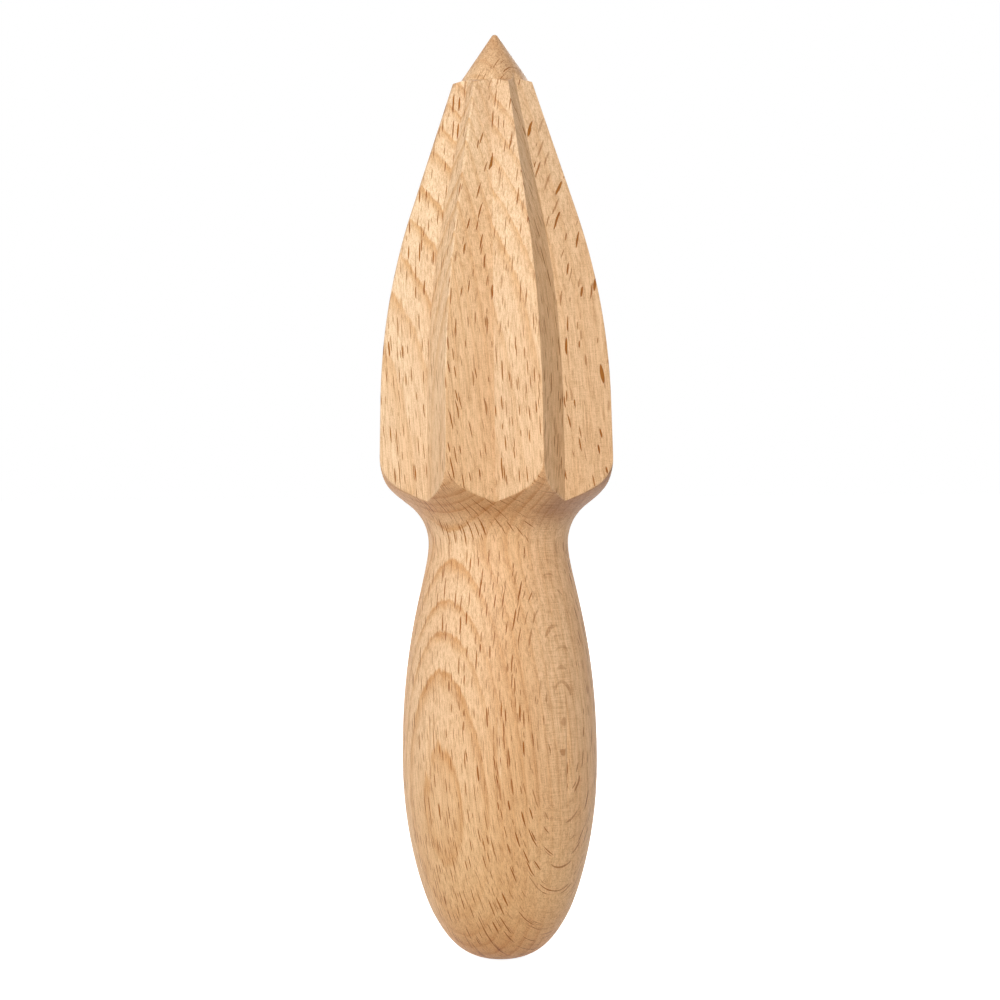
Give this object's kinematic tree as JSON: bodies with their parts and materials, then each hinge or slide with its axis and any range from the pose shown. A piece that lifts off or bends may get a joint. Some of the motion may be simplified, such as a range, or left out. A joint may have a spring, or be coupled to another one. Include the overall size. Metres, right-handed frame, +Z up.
{
  "type": "citrus reamer",
  "caption": "Wooden hand citrus reamer with a pointed, V-fluted head, a narrow neck and a barrel-shaped handle with a round end.",
  "frame": {"origin": "lowest point of the handle's round end, on the turning axis", "axes": "+Z up along the turning axis from the handle's end to the tip, as in the picture; the middle of one flute faces -Y and another faces +X"},
  "size_m": [0.0414, 0.0414, 0.165],
  "materials": {
    "beech": "pale beech, finely sanded, bare or lightly oiled, satin"
  },
  "bodies": {
    "root": {"reamer": "beech"}
  },
  "joints": []
}
